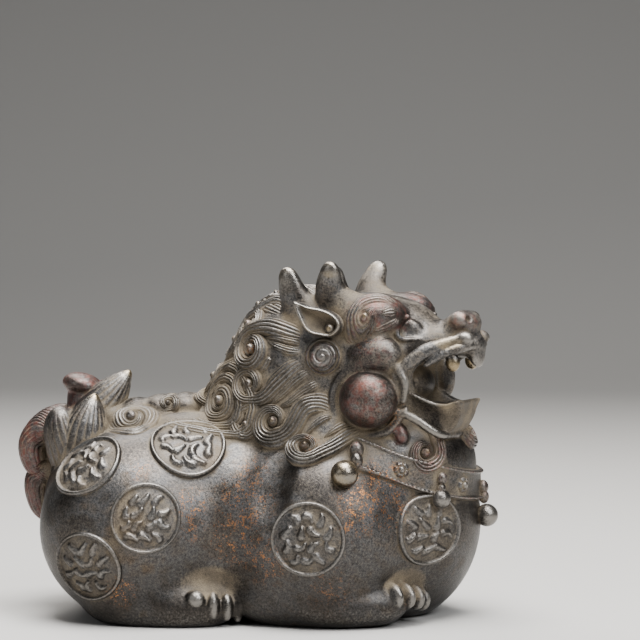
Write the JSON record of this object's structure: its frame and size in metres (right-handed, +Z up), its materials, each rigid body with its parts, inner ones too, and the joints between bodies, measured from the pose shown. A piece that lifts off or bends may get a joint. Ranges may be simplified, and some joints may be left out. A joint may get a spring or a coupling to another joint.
{
  "type": "pixiu figure",
  "caption": "Cast bronze guardian beast lying down with its turned head up and mouth open, with curled mane, horns, belled collar and round medallions in relief.",
  "frame": {"origin": "centre of the figure's bounding box on the surface that it stands on", "axes": "+X to the front of the body, +Y to the figure's left, +Z up"},
  "size_m": [0.0902, 0.0536, 0.067],
  "materials": {
    "bronze": "dark brown patinated cast bronze, worn bright on the ridges, with tan dust and old red lacquer in places"
  },
  "bodies": {
    "root": {"pixiu_figure": "bronze"}
  },
  "joints": []
}
